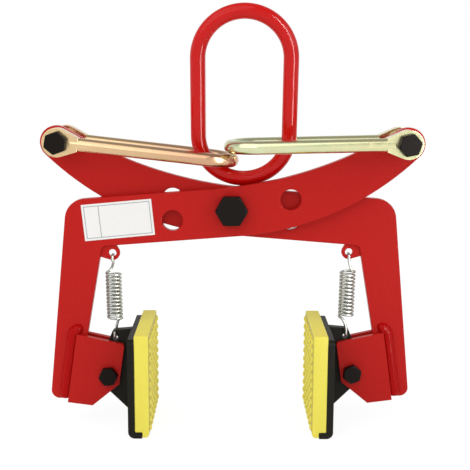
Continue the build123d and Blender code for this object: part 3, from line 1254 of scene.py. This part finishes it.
@dataclass
class Jaws(Assembly):
    """Swinging pad carriers with their lugs and studded pads.

    Attributes:
        columns: Studs across a pad.
        rows: Studs up a pad.
        pitch_y: Stud spacing across.
        pitch_z: Stud spacing upwards.
        stud_rise: Height of the studs' middle above the pad's middle.
        stud_radius: Radius of a stud.
        stud_height: Height of a stud.
        edge_radius: Rounding of the pad's edges.
        edge_segments: Faces across that rounding.
        edge_angle: Least angle of an edge that is rounded, in degrees.
        crease_angle: Least angle of an edge that stays crisp, in degrees.
    """

    columns: int = 7
    rows: int = 11
    pitch_y: float = 15.6
    pitch_z: float = 9.3
    stud_rise: float = 0.6
    stud_radius: float = 3.9
    stud_height: float = 2.6
    edge_radius: float = 1.2
    edge_segments: int = 3
    edge_angle: float = 40.0
    crease_angle: float = 35.0

    def dress(self) -> None:
        """Paints the carriers and lugs satin black."""
        self.shop.dress(BLACK_PAINT, Slot.BLACK_STEEL, both_sides("carrier", "lug"))

    def rounded_body(self) -> bpy.types.Mesh:
        """Body of the left pad with rounded edges.

        Returns:
            The plain mesh, without studs.
        """
        body = new_piece("pad_body", merged_copy("left_pad"))
        bevel = body.modifiers.new("edges", "BEVEL")
        bevel.width = self.edge_radius * MM
        bevel.segments = self.edge_segments
        bevel.limit_method = "ANGLE"
        bevel.angle_limit = math.radians(self.edge_angle)
        return applied(body)

    def build_pad(self, side: Side) -> bpy.types.Object:
        """Pad with rounded edges and rows of studs, in place of the plain CAD pad.

        Args:
            side: Half of the clamp.

        Returns:
            The piece.
        """
        low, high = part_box("left_pad")
        mesh = grown(self.rounded_body(), self.shop.trees.studs, {
            "Face X": high.x,
            "Middle Y": (low.y + high.y) / 2,
            "Middle Z": (low.z + high.z) / 2 + self.stud_rise * MM,
            "Pitch Y": self.pitch_y * MM,
            "Pitch Z": self.pitch_z * MM,
            "Columns": self.columns,
            "Rows": self.rows,
            "Stud Radius": self.stud_radius * MM,
            "Stud Height": self.stud_height * MM,
            "Material": self.shop.paint(PAD_RUBBER),
        })
        piece = side_piece(side, "studded_pad", mesh, "pad")
        mesh.set_sharp_from_angle(angle=math.radians(self.crease_angle))
        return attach(piece, side.jaw)


@dataclass
class Springs(Assembly):
    """Extension springs with hooked ends, from the arm's tab to the pad lug.

    Attributes:
        high_hole: Middle of the tab hole, X, Y and Z.
        low_hole: Middle of the lug hole.
        high_radius: Radius of the tab hole.
        low_radius: Radius of the lug hole.
        wire: Wire diameter.
        wire_corners: Corners of its section.
        diameter: Outer diameter of the coil.
        pitch: Rise of one turn.
        turns: Turns of the coil with its leads.
        hook_bend: Bend radius of the hooks.
        hook_tail: Straight tail of the hooks.
        lead_turn: Part of a turn at each end that leads to the hook, in degrees.
        seat_play: Space between wire and hole.
        lug_half: Half the width that the low hook spans.
        tab_half: Half the width that the high hook spans.
        station_turn: Part of a turn between two stations of the coil, in degrees.
        arc_step: Length of a step on an arc.
        arc_steps: Fewest and most steps on an arc.
        tiny: Distance that counts as none.
    """

    high_hole: tuple[float, float, float] = (-126.556, -5.2, 189.186)
    low_hole: tuple[float, float, float] = (-125.0, -5.2, 96.5)
    high_radius: float = 4.0
    low_radius: float = 3.0
    wire: float = 2.9
    wire_corners: int = 12
    diameter: float = 17.7
    pitch: float = 4.0
    turns: int = 13
    hook_bend: float = 3.2
    hook_tail: float = 3.0
    lead_turn: float = 60.0
    seat_play: float = 0.35
    lug_half: float = 4.9
    tab_half: float = 2.4
    station_turn: float = 30.0
    arc_step: float = 1.2
    arc_steps: tuple[int, int] = (2, 6)
    tiny: float = 1e-6

    @property
    def axis(self) -> Vector:
        """Direction from the lug hole to the tab hole."""
        return (Vector(self.high_hole) - Vector(self.low_hole)).normalized()

    @property
    def seats(self) -> tuple[Vector, Vector]:
        """Seats of the hooks.

        Returns:
            Wire middle in the lug hole and in the tab hole.
        """
        less = self.wire / 2 + self.seat_play
        low = Vector(self.low_hole) + self.axis * (self.low_radius - less)
        return low, Vector(self.high_hole) - self.axis * (self.high_radius - less)

    @property
    def span(self) -> float:
        """Distance between the two seats."""
        low, high = self.seats
        return (high - low).length

    def hook(self, half: float) -> list[Station]:
        """Places and directions of the wire along a low hook.

        Args:
            half: Half the width that the hook spans.

        Returns:
            Stations from the tail to where the wire heads for the coil.
        """
        side = half + self.hook_bend
        bend = self.hook_bend
        return [
            (Vector((0, -side, bend + self.hook_tail)), Vector((0, 0, -1))),
            (Vector((0, -side, bend)), Vector((0, 0, -1))),
            (Vector((0, -half, 0)), Vector((0, 1, 0))),
            (Vector((0, half, 0)), Vector((0, 1, 0))),
            (Vector((0, side, bend)), Vector((0, 0, 1))),
        ]

    def coil(self) -> list[Station]:
        """Places and directions of the wire along the coil.

        Returns:
            Stations from the low end to the high end.
        """
        radius = (self.diameter - self.wire) / 2
        whole = 360.0 * self.turns - 2 * self.lead_turn
        start = (self.span - self.pitch * whole / 360.0) / 2
        steps = round(whole / self.station_turn)
        stations = []
        for k in range(steps + 1):
            turn = whole * k / steps
            angle = math.radians(self.lead_turn + turn)
            x = radius * math.sin(angle)
            y = radius * math.cos(angle)
            way = Vector((y, -x, self.pitch / (2 * math.pi)))
            stations.append((Vector((x, y, start + self.pitch * turn / 360.0)), way.normalized()))
        return stations

    def stations(self) -> list[Station]:
        """Places and directions of the whole wire.

        Returns:
            Stations from the low hook's tail to the high one's.
        """
        high = [
            (Vector((-p.x, p.y, self.span - p.z)), Vector((t.x, -t.y, t.z)))
            for p, t in reversed(self.hook(self.tab_half))
        ]
        return self.hook(self.lug_half) + self.coil() + high

    def arc(self, start: Vector, way: Vector, end: Vector, steps: int) -> list[Vector]:
        """Places on the arc that leaves start along way and reaches end, without its start.

        Args:
            start: First place.
            way: Direction at the start.
            end: Last place.
            steps: Number of places.

        Returns:
            The places.
        """
        chord = end - start
        aside = chord - way * chord.dot(way)
        if aside.length < self.tiny:
            return [start.lerp(end, (k + 1) / steps) for k in range(steps)]
        half = way.angle(chord)
        radius = chord.length / (2 * math.sin(half))
        aside.normalize()
        places = []
        for k in range(steps):
            angle = 2 * half * (k + 1) / steps
            ahead = way * (radius * math.sin(angle))
            places.append(start + ahead + aside * (radius * (1 - math.cos(angle))))
        return places

    def route(self) -> list[Vector]:
        """Middle line of the left spring's wire, on pairs of tangent arcs.

        Returns:
            Places along the wire in metres.
        """
        fewest, most = self.arc_steps
        stations = self.stations()
        places = [stations[0][0]]
        for (p, t), (q, u) in zip(stations, stations[1:]):
            chord = q - p
            if (t - u).length < self.tiny and chord.cross(t).length < self.tiny:
                places += self.arc(p, t, q, fewest)
                continue
            both = t + u
            square = both.dot(both) - 4
            middle = -2 * chord.dot(both)
            root = math.sqrt(middle * middle - 4 * square * chord.dot(chord))
            reach = (-middle - root) / (2 * square)
            first = p + t * reach
            second = q - u * reach
            join = (first + second) / 2
            steps = max(fewest, min(most, round(chord.length / self.arc_step)))
            places += self.arc(p, t, join, steps)
            places += self.arc(join, (second - first).normalized(), q, steps)
        across = Vector((0, 1, 0)).cross(self.axis).normalized()
        aside = self.axis.cross(across)
        low = self.seats[0]
        return [(low + across * p.x + aside * p.y + self.axis * p.z) * MM for p in places]

    def build(self, side: Side) -> bpy.types.Object:
        """Wound wire of one spring, in place of the CAD spring.

        Args:
            side: Half of the clamp.

        Returns:
            The piece.
        """
        mesh = self.shop.bar(SPRING_WIRE, self.route(), self.wire / 2, self.wire_corners)
        piece = side_piece(side, "wound_spring", mesh, "spring")
        start = side.turn @ (Vector(self.high_hole) * MM)
        end = side.turn @ (Vector(self.low_hole) * MM)
        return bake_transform(piece, side.arm, side.jaw, start=start, end=end)


# Studio, with its sizes in metres


@dataclass(frozen=True)
class Lamp:
    """A soft lamp with a flat face.

    Attributes:
        name: Name of the lamp.
        place: Its place.
        size: Width and height of its face.
        power: Power in watts.
        aim_height: Height on the clamp's middle line that it faces.
        mirror_only: Whether it shows in reflections only.
    """

    name: str
    place: tuple[float, float, float]
    size: tuple[float, float]
    power: float
    aim_height: float = 0.2
    mirror_only: bool = False


@dataclass
class Studio:
    """White floor and background, soft light and the camera.

    Attributes:
        camera_place: Place of the camera.
        camera_turn: Turn about Z, tilt about X and roll, in degrees.
        lens: Focal length in millimetres.
        sensor: Width of the picture behind the lens, in millimetres.
        fill: Strength of the light from all sides.
        ceiling_dim: How far the white background darkens overhead.
        dim_span: Upward parts of the view direction between which it darkens.
        floor_size: Side of the floor.
        floor_drop: Distance of the floor below the clamp.
        floor_grey: Brightness of the floor under light.
        floor_glow: Share of the floor's white that shows without light on it.
        floor_white: Strength of that white.
        lamps: The lamps.
    """

    camera_place: tuple[float, float, float] = (-0.00193, -0.96355, 0.37535)
    camera_turn: tuple[float, float, float] = (-0.34, 80.137, 0.295)
    lens: float = 69.98
    sensor: float = 36.0
    fill: float = 0.69
    ceiling_dim: float = 0.6
    dim_span: tuple[float, float] = (0.12, 0.85)
    floor_size: float = 8.0
    floor_drop: float = 0.0005
    floor_grey: float = 0.94
    floor_glow: float = 0.82
    floor_white: float = 1.09
    lamps: tuple[Lamp, ...] = (
        Lamp("key_lamp", (-0.7, -1.1, 1.5), (2.2, 2.2), 17.5),
        Lamp("side_lamp", (1.3, -0.7, 0.7), (0.8, 0.8), 3.8),
        Lamp("right_strip", (0.45, -0.43, 0.42), (0.14, 0.82), 7.0, 0.42, True),
    )

    @staticmethod
    def seen_white(builder: NodeBuilder) -> bpy.types.NodeSocket:
        """Mask of the rays that see the white background.

        Args:
            builder: Builder of the tree that the mask is for.

        Returns:
            1 for camera, glossy and transmission rays, else 0.
        """
        path = builder.add("ShaderNodeLightPath").outputs
        seen = builder.math("MAXIMUM", path["Is Camera Ray"], path["Is Glossy Ray"])
        return builder.math("MAXIMUM", seen, path["Is Transmission Ray"])

    def build_world(self) -> None:
        """Lights the clamp evenly from all sides, before a white background that darkens overhead."""
        world = bpy.data.worlds.new("white_studio")
        bpy.context.scene.world = world
        builder = NodeBuilder.cleared(world)
        way = builder.add("ShaderNodeTexCoord").outputs["Generated"]
        start, end = self.dim_span
        level = builder.add(
            "ShaderNodeMapRange",
            Value=builder.add("ShaderNodeSeparateXYZ", Vector=way).outputs["Z"],
            From_Min=start,
            From_Max=end,
            To_Min=1.0,
            To_Max=1.0 - self.ceiling_dim,
        )
        light = builder.add("ShaderNodeBackground", Color=WHITE, Strength=self.fill)
        white = builder.add("ShaderNodeBackground", Color=WHITE, Strength=level.outputs[0])
        mixed = builder.add_ordered(
            "ShaderNodeMixShader", {}, self.seen_white(builder), light.outputs[0], white.outputs[0]
        )
        builder.add("ShaderNodeOutputWorld", Surface=mixed.outputs[0])

    def build_floor(self) -> None:
        """Lays a white floor that keeps a soft shadow."""
        work = bmesh.new()
        bmesh.ops.create_grid(work, x_segments=1, y_segments=1, size=self.floor_size / 2)
        mesh = plain_mesh("floor", work)
        material = bpy.data.materials.new("white_floor")
        builder = NodeBuilder.cleared(material)
        matt = builder.add("ShaderNodeBsdfDiffuse", Color=(*[self.floor_grey] * 3, 1.0))
        glow = builder.add("ShaderNodeEmission", Color=WHITE, Strength=self.floor_white)
        share = builder.math("MULTIPLY", self.seen_white(builder), self.floor_glow)
        mixed = builder.add_ordered("ShaderNodeMixShader", {}, share, matt.outputs[0], glow.outputs[0])
        builder.add("ShaderNodeOutputMaterial", Surface=mixed.outputs[0])
        mesh.materials.append(material)
        floor = new_piece("floor", mesh)
        floor.location.z = -self.floor_drop

    def build_lamp(self, lamp: Lamp) -> None:
        """Sets up one soft lamp that faces the clamp.

        Args:
            lamp: Its name, place, size and power.
        """
        data = bpy.data.lights.new(lamp.name, "AREA")
        data.shape = "RECTANGLE"
        data.size, data.size_y = lamp.size
        data.energy = lamp.power
        made = bpy.data.objects.new(lamp.name, data)
        made.location = lamp.place
        made.visible_diffuse = not lamp.mirror_only
        towards = Vector((0.0, 0.0, lamp.aim_height)) - Vector(lamp.place)
        made.rotation_euler = towards.to_track_quat("-Z", "Y").to_euler()
        bpy.context.scene.collection.objects.link(made)

    def build_camera(self) -> None:
        """Sets up the camera at the photograph's angle."""
        data = bpy.data.cameras.new("camera")
        data.lens = self.lens
        data.sensor_width = self.sensor
        camera = bpy.data.objects.new("camera", data)
        pose = Matrix.Translation(self.camera_place)
        for angle, axis in zip(self.camera_turn, "ZXZ"):
            pose = pose @ Matrix.Rotation(math.radians(angle), 4, axis)
        camera.matrix_world = pose
        bpy.context.scene.collection.objects.link(camera)
        bpy.context.scene.camera = camera

    def build(self) -> None:
        """Sets up the whole studio."""
        bpy.context.scene.view_settings.view_transform = "Standard"
        self.build_world()
        self.build_floor()
        for lamp in self.lamps:
            self.build_lamp(lamp)
        self.build_camera()


def main() -> None:
    """Builds and dresses the clamp."""
    logging.basicConfig(level=logging.INFO, format="%(name)s: %(message)s")
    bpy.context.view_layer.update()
    shop = Workshop()
    arms = Arms(shop)
    fasteners = Fasteners(shop)
    jaws = Jaws(shop)
    springs = Springs(shop)
    for assembly in (arms, Linkage(shop), fasteners, jaws):
        assembly.dress()
    pieces = [arms.build_label(), *fasteners.build_threads()]
    for side in Side:
        pieces += [arms.build_beads(side), jaws.build_pad(side), springs.build(side)]
    Studio().build()
    for piece in pieces:
        LOG.info("built %s with %d faces", piece.name, len(piece.data.polygons))


if __name__ == "__main__":
    main()
